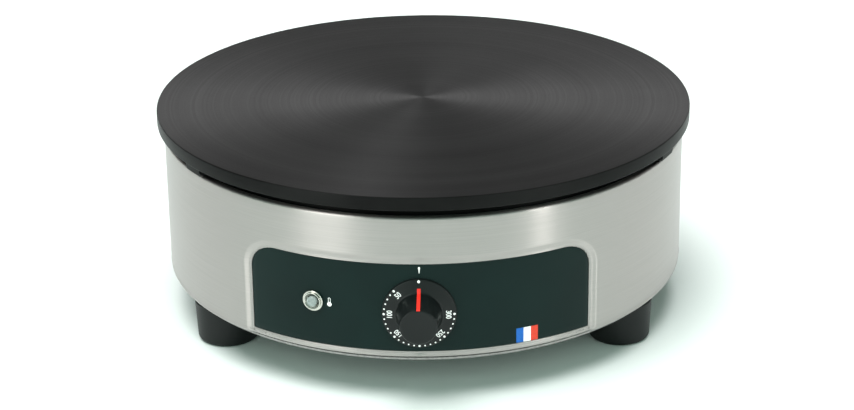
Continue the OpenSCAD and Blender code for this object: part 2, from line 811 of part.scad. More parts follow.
// A bent strip on the clamp plate that presses the bulb up against the griddle
module bulb_clip() color(zinc) {
    top = z_bulb - bulb_r - slip;
    foot = z_clamp + clamp_t;
    step = foot + bulb_clip_t;
    half = bulb_clip_half;
    for (side = [-1, 1]) translate([side * bulb_l / 4 - bulb_clip_l / 2, y_bulb, 0])
        rotate([90, 0, 90]) linear_extrude(bulb_clip_l) polygon([[-half[0], foot],
            [half[0], foot], [half[0], step], [half[1], step], [half[2], top],
            [-half[2], top], [-half[1], step], [-half[0], step]]);
}

// Runs from the bulb down past the shield and forward to the thermostat's side
module capillary_tube() color([0.80, 0.50, 0.33]) bent_bar([[bulb_l / 2, y_bulb, z_bulb],
    [capillary_x, y_bulb, z_bulb], [capillary_x, y_capillary, z_bulb],
    [capillary_x, y_capillary, z_knob], [capillary_x, y_stat + stat_d / 2, z_knob],
    [stat_w / 2, y_stat + stat_d / 2, z_knob]], capillary_r, capillary_bend);

// Hole for the capillary through the boards under the plate
module capillary_hole(r) {
    translate([capillary_x, y_capillary, z_shield - 1])
        cylinder(r = r, h = shoulder_drop, $fn = fn_small);
}

// ---------------------------------------------------------------- wiring and cable entry

// Calls its children at each pole of the terminal block
module pole_places() {
    for (k = [-1:1]) translate([block_at.x + k * pole_pitch, block_at.y, 0]) children();
}

module terminal_block() color([0.93, 0.92, 0.88]) difference() {
    translate([block_at.x - block_size.x / 2, block_at.y - block_size.y / 2, z_drum])
        cube(block_size);
    pole_places() {
        translate([0, block_size.y, z_wire]) rotate([90, 0, 0])
            cylinder(r = wire_hole_r, h = 2 * block_size.y, $fn = fn_small);
        for (side = [-1, 1]) translate([0, side * pole_screw_side, z_wire])
            cylinder(r = pole_screw_r + bite, h = block_size.z, $fn = fn_small);
    }
    for (side = [-1, 1]) translate([block_at.x + side * pole_pitch / 2, block_at.y, z_drum - 1])
        cylinder(r = block_screw_r + bore_play, h = block_size.z + 2, $fn = fn_small);
}

module terminal_block_screws() color(zinc) for (side = [-1, 1])
    translate([block_at.x + side * pole_pitch / 2, block_at.y, z_drum]) {
        translate([0, 0, block_size.z])
            cylinder(r = block_head_r, h = block_head_h, $fn = fn_small);
        cylinder(r = block_screw_r, h = block_size.z + 1, $fn = fn_small);
    }

module wire_clamp_screws() color([0.80, 0.68, 0.40]) pole_places() for (side = [-1, 1])
    translate([0, side * pole_screw_side, z_wire + wire_r + slip])
        cylinder(r = pole_screw_r, h = block_size.z - wire_above - wire_r - 1, $fn = fn_small);

// A stud on the drum's floor plate; the earth lead ends between its two nuts
module earth_stud() color([0.80, 0.68, 0.40]) translate([earth_at.x, earth_at.y, z_drum]) {
    cylinder(r = earth_r, h = earth_l, $fn = fn_small);
    cylinder(r = earth_flange_r, h = earth_flange_t, $fn = fn_small);
    translate([0, 0, earth_flange_t]) hexagon(earth_nut_af, earth_nut_h);
    translate([0, 0, wire_above + wire_r + slip]) hexagon(earth_nut_af, earth_nut_h);
}

module rear_at() translate([0, drum_r, gland_z]) rotate([-90, 0, 0]) children();

module cable_gland() color(black_plastic) rear_at() difference() {
    union() {
        translate([0, 0, slip]) hexagon(gland_af, gland_hex_t - slip);
        translate([0, 0, -gland_in]) cylinder(r = gland_r, h = gland_in + 1, $fn = fn_mid);
        cylinder(r = nose_r, h = gland_hex_t + nose_l, $fn = fn_mid);
    }
    translate([0, 0, -gland_in - 1]) cylinder(r = cable_r, h = gland_in + dome_l, $fn = fn_mid);
    translate([0, 0, seal_z]) cylinder(r = seal_r + slip, h = dome_l, $fn = fn_mid);
}

module gland_seal() color([0.25, 0.25, 0.25]) rear_at()
    tube(seal_r, cable_r + seal_play, seal_z, seal_z + seal_l);

module gland_dome_nut() color(black_plastic) rear_at() difference() {
    translate([0, 0, gland_hex_t]) rotate_extrude($fn = fn_mid) intersection() {
        square([dome_r, dome_l]);
        union() {
            square([dome_r, dome_l - dome_round]);
            square([dome_r - dome_round, dome_l]);
            translate([dome_r - dome_round, dome_l - dome_round]) circle(dome_round, $fn = fn_mid);
        }
    }
    translate([0, 0, gland_hex_t - 1])
        cylinder(r = nose_r + bite, h = nose_l + nose_play + 1, $fn = fn_mid);
    translate([0, 0, seal_z - 1]) cylinder(r = seal_r + slip, h = seal_l + slip + 1, $fn = fn_mid);
    translate([0, 0, seal_z - 1]) cylinder(r = cable_r, h = gland_hex_t + dome_l, $fn = fn_mid);
}

module gland_lock_nut() color(black_plastic) rear_at() {
    back = drum_r - sqrt(pow(drum_r - sheet_t, 2) - pow(lock_nut_af / sqrt(3), 2)) + slip;
    translate([0, 0, -back - lock_nut_t]) difference() {
        hexagon(lock_nut_af, lock_nut_t);
        translate([0, 0, -1]) cylinder(r = gland_r + bite, h = lock_nut_t + 2, $fn = fn_mid);
    }
}

// Where the cold tail of a loop comes down
function tail_at(r, loop_r) = let (az = gap_az(r))
    [tenths(-tail_run * cos(az) - loop_r * sin(az)), tenths(tail_run * sin(az) - loop_r * cos(az))];

// Leads from the terminal block to the thermostat, the elements and the earth stud
module internal_leads() color([0.75, 0.30, 0.22]) {
    front = block_at.y - block_size.y / 2 + 4;
    rear = block_at.y + block_size.y / 2 - 4;
    x_side = block_at.x - pole_pitch;
    live = tail_at(inner_loop_r, inner_loop_r);
    neutral = tail_at(inner_loop_r, inner_loop_r - loop_pitch);
    live_out = tail_at(outer_loop_r, outer_loop_r);
    neutral_out = tail_at(outer_loop_r, outer_loop_r - loop_pitch);
    z_pin = tail_end_z - pin_l;
    beside = pin_r + slip;
    y_rise = y_tab_end + 35;
    y_cross = y_rise - 12;
    z_cross = z_tab + 11;
    z_neutral = z_wire + 19;
    y_earth = rear + 19;
    jumper_h = 4;
    bent_bar([[x_side, front, z_wire], [x_side, y_rise, z_wire], [tab_pitch, y_rise, z_wire],
        [tab_pitch, y_rise, z_tab + tab_t / 2], [tab_pitch, y_tab_end + slip, z_tab + tab_t / 2]],
        wire_r, wire_bend);
    bent_bar([[-tab_pitch, y_tab_end + slip, z_tab + tab_t / 2],
        [-tab_pitch, y_cross, z_tab + tab_t / 2], [-tab_pitch, y_cross, z_cross],
        [x_side - 2, y_cross, z_cross], [x_side - 2, live.y, z_cross],
        [live.x, live.y, z_cross], [live.x, live.y, z_pin - slip]], wire_r, wire_bend);
    bent_bar([[block_at.x, front, z_wire], [block_at.x, neutral.y, z_wire],
        [block_at.x, neutral.y, z_neutral], [neutral.x, neutral.y, z_neutral],
        [neutral.x, neutral.y, z_pin - slip]], wire_r, wire_bend);
    bent_bar([[block_at.x + pole_pitch, rear, z_wire], [block_at.x + pole_pitch, y_earth, z_wire],
        [earth_at.x, y_earth, z_wire], [earth_at.x, earth_at.y + earth_r + slip, z_wire]],
        wire_r, wire_bend);
    bar([live.x, live.y + beside, z_pin + jumper_h],
        [live_out.x, live_out.y - beside, z_pin + jumper_h], wire_r);
    bar([neutral.x, neutral.y + beside, z_pin + jumper_h],
        [neutral_out.x, neutral_out.y - beside, z_pin + jumper_h], wire_r);
}

// ---------------------------------------------------------------- knob

// Half section of the knob, its faces moved out by grow
module knob_section(grow) {
    top = knob_h + grow;
    rim = [skirt_r - skirt_chamfer, skirt_h + grow];
    base = [grip_base_r + grow, z_dial + grow];
    lip = [grip_tip_r + grow, top];
    polygon(concat([[0, 0], [skirt_r + grow, 0], [skirt_r + grow, skirt_h - skirt_chamfer + grow], rim],
        rounded(base, rim, lip, grip_fillet - grow), rounded(lip, base, [0, top], grip_round + grow),
        [[0, top]]));
}

module knob_at() facing_front(y_knob, z_knob) children();

module knob() color(black_plastic) knob_at() difference() {
    rotate_extrude($fn = fn_mid) knob_section(0);
    difference() {
        translate([0, 0, -1]) cylinder(r1 = grip_base_r - knob_wall, r2 = grip_tip_r - knob_wall,
            h = knob_h - 2 * knob_wall + 1, $fn = fn_mid);
        translate([0, 0, -2]) cylinder(r = hub_r, h = knob_h + 2, $fn = fn_mid);
    }
    difference() {
        translate([0, 0, -1]) cylinder(r = spindle_r + bite, h = spindle_grip + 1.5, $fn = fn_mid);
        translate([-spindle_r - 1, spindle_r - spindle_flat + bite + clip_t + bite, -2])
            cube([2 * spindle_r + 2, spindle_r, spindle_grip + 4]);
    }
    pointer_shape(pointer_play, pointer_out + 1);
}

// The strip that runs from the skirt up the side of the grip
module pointer_shape(play, out) {
    intersection() {
        translate([-pointer_w / 2 - play, 0, 0])
            cube([pointer_w + 2 * play, pointer_skirt_r + play, knob_h + 3]);
        difference() {
            rotate_extrude($fn = fn_mid) knob_section(out);
            rotate_extrude($fn = fn_mid) knob_section(-pointer_depth - play);
        }
        translate([-pointer_w, grip_tip_r - grip_round - pointer_on_tip - play, 0])
            cube([2 * pointer_w, skirt_r, knob_h + 3]);
    }
}

module knob_pointer() color([0.85, 0.12, 0.10]) knob_at() pointer_shape(0, pointer_out);

// A leaf between the spindle's flat and the hub
module knob_spring_clip() color(zinc) knob_at()
    translate([-clip_w / 2, spindle_r - spindle_flat + bite, clip_start])
        cube([clip_w, clip_t - bite, clip_l]);

griddle_plate();
outer_heating_element();
inner_heating_element();
element_terminals();
element_clamp_plate();
clamp_screws();
insulation_board();
heat_shield();
sensor_bulb();
bulb_clip();
capillary_tube();
support_pillars();
tie_bolts();
tie_bolt_washers();
body_shell();
base_tray();
base_screws();
base_rivet_nuts();
foot_left();
foot_right();
foot_rear();
control_panel();
pilot_bezel();
pilot_lens();
pilot_lamp_body();
pilot_nut();
thermostat_bracket();
thermostat_body();
thermostat_screws();
thermostat_tabs();
terminal_block();
terminal_block_screws();
wire_clamp_screws();
earth_stud();
cable_gland();
gland_seal();
gland_dome_nut();
gland_lock_nut();
internal_leads();
thermostat_spindle();
knob();
knob_pointer();
knob_spring_clip();
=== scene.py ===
# %% [markdown]
# # Dressing an electric crepe maker
# A construction model already gives every piece its size and its place. This lesson loads it,
# leaves it as it is, and dresses it like the real appliance: turned cast iron, brushed steel,
# satin black plastic and a printed dial. Where light shows more form than the solids carry,
# such as the soft edge of the pressed front, a finer mesh takes the solid's place.

# %% Load the construction model
import json
import math

import bmesh
import bpy
from mathutils import Matrix, Vector


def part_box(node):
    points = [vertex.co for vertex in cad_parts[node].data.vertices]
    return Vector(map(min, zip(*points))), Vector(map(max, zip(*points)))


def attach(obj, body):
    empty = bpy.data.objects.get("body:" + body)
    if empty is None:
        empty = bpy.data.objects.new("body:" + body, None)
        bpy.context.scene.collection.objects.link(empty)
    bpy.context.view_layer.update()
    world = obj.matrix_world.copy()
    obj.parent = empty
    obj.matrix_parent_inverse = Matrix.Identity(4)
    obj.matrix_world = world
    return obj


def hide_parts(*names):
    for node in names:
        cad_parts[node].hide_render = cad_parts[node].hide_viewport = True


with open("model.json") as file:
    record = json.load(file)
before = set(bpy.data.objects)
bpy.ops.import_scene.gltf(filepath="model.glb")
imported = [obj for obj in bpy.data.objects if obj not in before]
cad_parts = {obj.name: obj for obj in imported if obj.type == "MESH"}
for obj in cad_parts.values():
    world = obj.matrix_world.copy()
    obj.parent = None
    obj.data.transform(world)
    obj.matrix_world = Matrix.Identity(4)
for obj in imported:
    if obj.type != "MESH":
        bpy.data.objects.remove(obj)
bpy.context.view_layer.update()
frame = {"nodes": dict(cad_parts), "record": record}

nodes = frame["nodes"]
slot_of = {part["node"]: part["material_slot"] for part in frame["record"]["subparts"]}
print("solid pieces:", len(nodes), "in", len(set(slot_of.values())), "finishes")

# %% [markdown]
# ## Sizes
# Nothing is measured twice. The outer sizes come from the boxes of the solid pieces, and only
# what a box can't tell, such as the radius of a rolled edge, is written here in millimetres.

# %% Sizes taken from the solids
MM = 0.001
plate_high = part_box("griddle_plate")[1]
shell_low, shell_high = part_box("body_shell")
panel_low, panel_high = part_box("control_panel")
knob_low, knob_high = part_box("knob")
foot_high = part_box("foot_rear")[1]
plate_r = plate_high.x
plate_top = plate_high.z
drum_r = shell_high.x
panel_r = -panel_low.y
panel_fit = 0.3 * MM
panel_half = panel_high.x + panel_fit
panel_floor = panel_low.z - panel_fit
panel_top = panel_high.z + panel_fit
knob_z = (knob_low.z + knob_high.z) / 2
knob_back = knob_high.y
skirt_r = knob_high.x
print(f"plate {2000 * plate_r:.0f} mm, drum {2000 * drum_r:.0f} mm, overall height {1000 * plate_top:.0f} mm")

# %% [markdown]
# ## Arithmetic on surfaces
# A finish is a set of small calculations that run at every point of a surface. Wiring them by
# hand is slow to read, so a reading of a node answers to plus, minus, times and divided by, and
# each such sum adds the node that works it out. A Finish holds one shader and fills its inputs.
# It serves a material and the light of the room alike, since both are a shader with inputs.


# %% Readings and finishes
class Reading:
    """What a node says at each point of a surface, open to plain arithmetic."""

    def __init__(self, finish, socket):
        self.finish = finish
        self.socket = socket

    def worked(self, operation, first, second):
        return self.finish.node("ShaderNodeMath", {"operation": operation}, {0: first, 1: second})

    def __add__(self, other):
        return self.worked("ADD", self, other)

    def __radd__(self, other):
        return self.worked("ADD", other, self)

    def __sub__(self, other):
        return self.worked("SUBTRACT", self, other)

    def __rsub__(self, other):
        return self.worked("SUBTRACT", other, self)

    def __mul__(self, other):
        return self.worked("MULTIPLY", self, other)

    def __rmul__(self, other):
        return self.worked("MULTIPLY", other, self)

    def __truediv__(self, other):
        return self.worked("DIVIDE", self, other)

    def from_to(self, low, high):
        """0 at low, 1 at high, and held there outside."""
        return self.finish.node("ShaderNodeMapRange", {"clamp": True},
                                {"Value": self, "From Min": low, "From Max": high})


class Finish:
    """One material, or a room's light, made by naming what each input of its shader gets."""

    def __init__(self, name, room=None, **constants):
        self.material = room or bpy.data.materials.new(name)
        self.material.use_nodes = True
        self.tree = self.material.node_tree
        self.shader = self.tree.nodes["Background" if room else "Principled BSDF"]
        for word, value in constants.items():
            self.give(self.shader.inputs[word.replace("_", " ")], value)

    def give(self, socket, value):
        if isinstance(value, Reading):
            self.tree.links.new(value.socket, socket)
        else:
            socket.default_value = value

    def node(self, kind, settings=None, values=None, output=0):
        made = self.tree.nodes.new(kind)
        for word, value in (settings or {}).items():
            setattr(made, word, value)
        for socket, value in (values or {}).items():
            self.give(made.inputs[socket], value)
        return Reading(self, made.outputs[output])

    def wear(self, **readings):
        for word, value in readings.items():
            self.give(self.shader.inputs[word.replace("_", " ")], value)
        return self.material

    def place(self, stretch=(1, 1, 1)):
        here = self.node("ShaderNodeTexCoord", output="Object")
        return self.node("ShaderNodeMapping", {}, {"Vector": here, "Scale": stretch})

    def noise(self, place, scale, detail=3.0):
        return self.node("ShaderNodeTexNoise", {}, {"Vector": place, "Scale": scale, "Detail": detail})

    def mix(self, share, first, second):
        return self.node("ShaderNodeMix", {"data_type": "RGBA"}, {0: share, 6: first, 7: second}, output=2)

    def bump(self, height, distance, strength=1.0):
        return self.node("ShaderNodeBump", {},
                         {"Height": height, "Distance": distance, "Strength": strength})


def paint(red, green, blue):
    """A colour as the shader wants it, with its opaque fourth value."""
    return (red, green, blue, 1.0)


print("sums:", [word for word in ("add", "sub", "mul", "truediv") if hasattr(Reading, f"__{word}__")])

# %% [markdown]
# ## Cast iron
# The griddle is turned on a lathe and then seasoned with oil. The tool leaves rings too fine to
# see one by one. They show as soft rays and as faint bands, because each ring throws light
# across itself, so the shine is stretched from the middle outwards. The seasoning adds dull
# and glossy clouds. The rings could be cut into the mesh, but they are finer than a pixel, so
# noise that reads only the distance from the middle stands for them. The shader's own
# anisotropy gives the rays.


# %% Cast iron
def cast_iron():
    ray_stretch = 0.8
    quarter_turn = 0.25
    finish = Finish("cast_iron", Specular_IOR_Level=0.11, Anisotropic=ray_stretch,
                    Anisotropic_Rotation=quarter_turn)
    place = finish.place()
    flat = finish.node("ShaderNodeVectorMath", {"operation": "MULTIPLY"}, {0: place, 1: (1, 1, 0)})
    radius = finish.node("ShaderNodeVectorMath", {"operation": "LENGTH"}, {0: flat}, output="Value")
    rings = finish.node("ShaderNodeTexNoise", {"noise_dimensions": "1D"},
                        {"W": radius, "Scale": 420.0, "Detail": 4.0, "Roughness": 0.7})
    bands = finish.node("ShaderNodeTexNoise", {"noise_dimensions": "1D"},
                        {"W": radius, "Scale": 45.0, "Detail": 2.0})
    clouds = finish.noise(place, 14.0, 5.0)
    specks = finish.noise(place, 900.0, 2.0)
    shade = rings * 0.45 + bands * 0.3 + clouds * 0.45
    colour = finish.mix(shade.from_to(0.45, 0.75), paint(0.0018, 0.0017, 0.0017), paint(0.0125, 0.012, 0.012))
    rough = 0.22 + rings * 0.22 + clouds * 0.16 + specks * 0.08
    grain = rings * 0.6 + specks * 0.4
    return finish.wear(Base_Color=colour, Roughness=rough, Normal=finish.bump(grain, 0.035 * MM))


# %% [markdown]
# ## Brushed steel
# The drum's sheet was brushed along its length before it was bent, so the strokes run round
# the drum. Noise that is squeezed flat from top to bottom makes such strokes, and the shine is
# stretched across them, up and down. A picture of brushed metal would do as well, but it would
# need unwrapping and would repeat, and noise does neither.


# %% Brushed steel
def brushed_steel():
    finish = Finish("brushed_steel", Metallic=1.0, Anisotropic=0.9, Anisotropic_Rotation=0.25)
    strokes = finish.noise(finish.place((14, 14, 3200)), 1.0, 4.0)
    clouds = finish.noise(finish.place(), 9.0, 3.0)
    stroke = strokes * 0.75 + clouds * 0.25
    colour = finish.mix(stroke.from_to(0.3, 0.7), paint(0.405, 0.378, 0.366), paint(0.485, 0.455, 0.441))
    return finish.wear(Base_Color=colour, Roughness=0.3 + stroke * 0.12,
                       Normal=finish.bump(strokes, 0.004 * MM))


def mill_steel(name, dark, light, rough):
    """Sheet and turned pieces as they leave the mill, for what sits under and in the drum."""
    finish = Finish(name, Metallic=1.0)
    grain = finish.noise(finish.place((60, 60, 60)), 6.0, 4.0)
    return finish.wear(Base_Color=finish.mix(grain.from_to(0.35, 0.65), dark, light),
                       Roughness=rough + grain * 0.15, Normal=finish.bump(grain, 0.02 * MM))


# %% [markdown]
# ## Black plastics
# The panel, the knob and the feet are all black, yet no two look alike. The panel is a satin
# sheet with a cool green cast, the knob is moulded with a very fine grain, and the feet are
# softer and duller. One recipe serves all three, with the colours, the grain and the shine as
# its settings, so that they stay of one family.


# %% Black plastics
def satin_black(name, dark, light, rough, grain_size, grain_depth, shine=0.28):
    finish = Finish(name, Specular_IOR_Level=shine)
    place = finish.place()
    grain = finish.noise(place, grain_size, 3.0)
    wipes = finish.noise(place, 22.0, 3.0)
    colour = finish.mix(wipes.from_to(0.3, 0.75), dark, light)
    return finish.wear(Base_Color=colour, Roughness=rough + grain * 0.1 + wipes * 0.06,
                       Normal=finish.bump(grain, grain_depth))


# %% [markdown]
# ## Small finishes
# Prints, metal, milky plastic and what lies inside each get a short recipe of their own. Even
# a plain print has a slight mottle, since the ink never lies quite even. A print so small gets
# lost among darker pixels, so the inks get a little painted glow, an emission though no ink is a
# lamp, which keeps them as clear as they are to the eye.


# %% Small finishes
def ink(name, colour, rough=0.5, painted_glow=0.0):
    # The emission here is painted glow: the ink lights itself a little, though it is no lamp.
    finish = Finish(name, IOR=1.45, Emission_Color=colour, Emission_Strength=painted_glow)
    mottle = finish.noise(finish.place(), 1200.0, 2.0)
    dull = tuple(0.82 * part for part in colour[:3]) + (1.0,)
    return finish.wear(Base_Color=finish.mix(mottle.from_to(0.3, 0.6), dull, colour),
                       Roughness=rough + mottle * 0.1)


def polished_chrome():
    finish = Finish("chrome", Metallic=1.0)
    haze = finish.noise(finish.place(), 300.0, 2.0)
    return finish.wear(Base_Color=finish.mix(haze, paint(0.5, 0.49, 0.45), paint(0.66, 0.65, 0.6)),
                       Roughness=0.1 + haze * 0.08)


def milky_lens():
    finish = Finish("lens", IOR=1.49, Transmission_Weight=0.35, Coat_Weight=0.6, Coat_Roughness=0.05)
    cloud = finish.noise(finish.place(), 500.0, 2.0)
    return finish.wear(Base_Color=finish.mix(cloud, paint(0.34, 0.4, 0.39), paint(0.52, 0.58, 0.56)),
                       Roughness=0.18 + cloud * 0.1)


def plain(name, dark, light, rough, grain_size, grain_depth):
    finish = Finish(name)
    grain = finish.noise(finish.place(), grain_size, 3.0)
    return finish.wear(Base_Color=finish.mix(grain.from_to(0.3, 0.7), dark, light),
                       Roughness=rough + grain * 0.12, Normal=finish.bump(grain, grain_depth))


finishes = {
    "cast_iron": cast_iron(),
    "stainless": brushed_steel(),
    "panel_black": satin_black("panel_black", paint(0.001, 0.0105, 0.0095), paint(0.002, 0.0145, 0.013),
                               0.34, 1600.0, 0.012 * MM, shine=0.15),
    "knob_black": satin_black("knob_black", paint(0.003, 0.0045, 0.0045), paint(0.0055, 0.0075, 0.0075),
                              0.33, 2600.0, 0.02 * MM),
    "foot_black": satin_black("foot_black", paint(0.0035, 0.0045, 0.0045), paint(0.006, 0.0075, 0.0075),
                              0.42, 1500.0, 0.04 * MM),
    # The pointer gets painted glow too, so it reads evenly bright red, also on the side of the grip where
    # shade falls.
    "pointer_red": ink("pointer_red", paint(0.95, 0.03, 0.018), 0.38, painted_glow=0.12),
    "chrome": polished_chrome(),
    "lens": milky_lens(),
    "zinc": mill_steel("zinc", paint(0.5, 0.51, 0.53), paint(0.66, 0.67, 0.68), 0.32),
    "tray_steel": mill_steel("tray_steel", paint(0.24, 0.235, 0.23), paint(0.34, 0.335, 0.325), 0.34),
    "element_sheath": mill_steel("element_sheath", paint(0.1, 0.08, 0.07), paint(0.2, 0.16, 0.13), 0.5),
    "ceramic": plain("ceramic", paint(0.72, 0.69, 0.6), paint(0.82, 0.8, 0.72), 0.3, 200.0, 0.02 * MM),
    "mineral_board": plain("mineral_board", paint(0.6, 0.57, 0.48), paint(0.8, 0.77, 0.68), 0.85, 260.0,
                           0.4 * MM),
    "aluminised": mill_steel("aluminised", paint(0.58, 0.59, 0.6), paint(0.74, 0.75, 0.76), 0.38),
    "copper": mill_steel("copper", paint(0.6, 0.3, 0.18), paint(0.78, 0.44, 0.28), 0.3),
    "brass": mill_steel("brass", paint(0.62, 0.46, 0.2), paint(0.8, 0.64, 0.34), 0.28),
    "phenolic": plain("phenolic", paint(0.035, 0.024, 0.018), paint(0.06, 0.042, 0.032), 0.4, 400.0,
                      0.05 * MM),
    "gland_black": plain("gland_black", paint(0.012, 0.012, 0.013), paint(0.022, 0.022, 0.023), 0.4, 900.0,
                         0.03 * MM),
    "seal_rubber": plain("seal_rubber", paint(0.02, 0.02, 0.02), paint(0.035, 0.035, 0.035), 0.7, 800.0,
                         0.05 * MM),
    "lead_red": plain("lead_red", paint(0.3, 0.05, 0.03), paint(0.42, 0.08, 0.05), 0.55, 700.0, 0.04 * MM),
}
print("finishes:", len(finishes))

# %% [markdown]
# ## Dress the solids that stay
# A solid comes in as flat triangles that share no corners. Welding the corners and splitting
# only the sharp edges gives round walls that look round. Both are modifiers, so the mesh itself
# stays untouched and its size is kept.

# %% Dress the solids that stay
sharp_edge = math.radians(32)
weld_distance = 0.002 * MM
for name, solid in nodes.items():
    solid.data.materials.clear()
    solid.data.materials.append(finishes[slot_of[name]])
    solid.data.polygons.foreach_set("use_smooth", [True] * len(solid.data.polygons))
    weld = solid.modifiers.new("weld", "WELD")
    weld.merge_threshold = weld_distance
    split = solid.modifiers.new("split", "EDGE_SPLIT")
    split.split_angle = sharp_edge
print("dressed:", len(nodes))

# %% [markdown]
# ## Turned pieces
# The griddle, the knob, the feet and the bezel are all made on a lathe or in a round mould. One
# helper spins a half outline round the axis. The outline is a list of a radius and a height,
# with arcs where the real edge is rounded. A screw modifier could spin it too, but a helper
# that builds the rings itself leaves a clean corner on the axis and no seam.


# %% Helpers for meshes
def arc(centre, radius, start, stop, steps=8):
    """Points on a circle, from one angle in degrees to another."""
    angles = [math.radians(start + (stop - start) * k / steps) for k in range(steps + 1)]
    return [(centre[0] + radius * math.cos(a), centre[1] + radius * math.sin(a)) for a in angles]


def keep(name, shape, finish, stands_for, body="root"):
    """Turns a finished bmesh into a piece that rides on a body and stands for solids."""
    bmesh.ops.recalc_face_normals(shape, faces=shape.faces)
    mesh = bpy.data.meshes.new(name)
    shape.to_mesh(mesh)
    shape.free()
    mesh.materials.append(finish)
    mesh.polygons.foreach_set("use_smooth", [True] * len(mesh.polygons))
    mesh.set_sharp_from_angle(angle=sharp_edge)
    piece = bpy.data.objects.new(name, mesh)
    bpy.context.scene.collection.objects.link(piece)
    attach(piece, body)
    if stands_for:
        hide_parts(*stands_for)
    return piece


def spin(outline, around=192, to_place=Matrix.Identity(4), closed=False, shape=None):
    """Spins (radius, height) points round Z. A point on the axis becomes a single corner."""
    shape = shape or bmesh.new()
    rings = []
    for radius, height in outline:
        count = 1 if radius < 1e-7 else around
        turns = [2 * math.pi * k / around for k in range(count)]
        rings.append([shape.verts.new(to_place @ Vector((radius * math.cos(t), radius * math.sin(t), height)))
                      for t in turns])
    pairs = list(zip(rings, rings[1:] + rings[:1])) if closed else list(zip(rings, rings[1:]))
    for low, high in pairs:
        for k in range(around):
            n = (k + 1) % around
            corners = [low[k % len(low)], low[n % len(low)], high[n % len(high)], high[k % len(high)]]
            shape.faces.new(list(dict.fromkeys(corners)))
    return shape


print("arc helper:", len(arc((0, 0), 1, 0, 90)), "points in a quarter")

# %% [markdown]
# ## Griddle plate
# The plate is a thick disc with a slightly rounded rim. A thin bright line runs along the
# rounding at the front, so the rounding has to be real. Three lugs carry the plate on the
# drum, and a ring below centres it. A bevel modifier could round the rim, but an arc in the
# outline puts its corners exactly where the light needs them.

# %% Griddle plate
rim_h = 10 * MM
rim_round = 0.9 * MM
lug_h = 7 * MM
lug_r = plate_r - 2.5 * MM
lug_in = drum_r - 7 * MM
lug_half = math.degrees(10 * MM / lug_r)
lug_round = 1.5 * MM
lug_turn = 4.5
ring_out = 187 * MM
ring_in = 183 * MM
ring_low = plate_top - rim_h - 12 * MM
rim_low = plate_top - rim_h

rim = arc((plate_r - rim_round, rim_low + rim_round), rim_round, -90, 0, 5)
rim += arc((plate_r - rim_round, plate_top - rim_round), rim_round, 0, 90, 5)
outline = [(0, rim_low), (ring_in, rim_low), (ring_in, ring_low), (ring_out - MM, ring_low),
           (ring_out, ring_low + MM), (ring_out, rim_low)] + rim + [(0, plate_top)]
plate = spin(outline, 256)


def lug(shape, middle):
    """A block under the rim, a little inside it, with its lower edges rounded."""
    low = rim_low - lug_h
    sections = []
    steps = 10
    for k in range(steps + 1):
        turn = math.radians(middle - lug_half + 2 * lug_half * k / steps)
        end = min(k, steps - k) / steps
        lift = lug_round if end == 0 else 0
        section = [(lug_in, rim_low + MM), (lug_in, low + lift),
                   (lug_r - lug_round, low + lift), (lug_r, low + lug_round + lift), (lug_r, rim_low + MM)]
        sections.append([shape.verts.new((r * math.sin(turn), -r * math.cos(turn), z)) for r, z in section])
    for one, two in zip(sections, sections[1:]):
        for k in range(len(one)):
            n = (k + 1) % len(one)
            shape.faces.new((one[k], one[n], two[n], two[k]))
    shape.faces.new(sections[0])
    shape.faces.new(sections[-1])


lug_thirds = (-60, 60, 180)
for middle in lug_thirds:
    lug(plate, middle + lug_turn)
griddle = keep("griddle", plate, finishes["cast_iron"], ["griddle_plate"])
print("griddle faces:", len(griddle.data.polygons))

# %% [markdown]
# ## Drum with a pressed front
# The drum is one sheet with a rolled top edge and a turned-in lower edge. Its front is pressed
# in, and the edge of the pressing is a soft slope that follows the panel's outline. A grid of
# corners is laid over the drum, close together only where the slope turns its corners, and each
# corner is pushed in by how far it lies inside the outline. Cutting the shape out with another
# solid would leave a hard step. A formula for the depth gives the soft slope that catches light.
# The lower edge ends just above the tray, so the thin dark slit between the two is real.

# %% Drum
sheet_t = 1.2 * MM
top_roll = 1.8 * MM
top_flange = 3 * MM
bottom_roll = 3 * MM
bottom_opening = 178.5 * MM
border_w = 6.5 * MM
border_depth = 1.6 * MM
slope_w = 5.2 * MM
slope_ease = 0.25
seat_depth = 3.2 * MM
corner_r = 18 * MM
fine = 0.8 * MM
front_half = 141 * MM
tray_slit = 1.2 * MM
drum_floor = shell_low.z + tray_slit
drum_crest = shell_high.z


def inside(x, z, half, top, radius, floor):
    """How far a place seen from the front lies inside an outline with two round upper corners."""
    over_x = abs(x) - (half - radius)
    over_z = z - (top - radius)
    to_corner = radius - math.hypot(max(over_x, 0), max(over_z, 0)) - min(max(over_x, over_z), 0)
    return min(to_corner, z - floor)


def eased(share):
    """A straight ramp from 0 to 1 with rounded ends."""
    share = min(max(share, 0.0), 1.0)
    edge = 2 * slope_ease * (1 - slope_ease)
    if share < slope_ease:
        return share * share / edge
    if share > 1 - slope_ease:
        return 1 - (1 - share) ** 2 / edge
    return (share - slope_ease / 2) / (1 - slope_ease)


def pressed_in(x, z):
    """The place after it is drawn to the panel's outline, and how deep it is pressed."""
    border = inside(x, z, panel_half + border_w, panel_top + border_w, corner_r + border_w, -1)
    depth = border_depth * eased(border / slope_w)
    seat = inside(x, z, panel_half, panel_top, corner_r, panel_floor)
    if abs(seat) < 0.51 * fine:
        step = 0.01 * MM
        dx = (inside(x + step, z, panel_half, panel_top, corner_r, panel_floor) - seat) / step
        dz = (inside(x, z + step, panel_half, panel_top, corner_r, panel_floor) - seat) / step
        return x - seat * dx, z - seat * dz, depth
    return x, z, seat_depth if seat > 0 else depth


def spread(start, stop, step):
    """Even places from start up to, not with, stop."""
    count = max(1, round(abs(stop - start) / step))
    return [start + (stop - start) * k / count for k in range(count)]


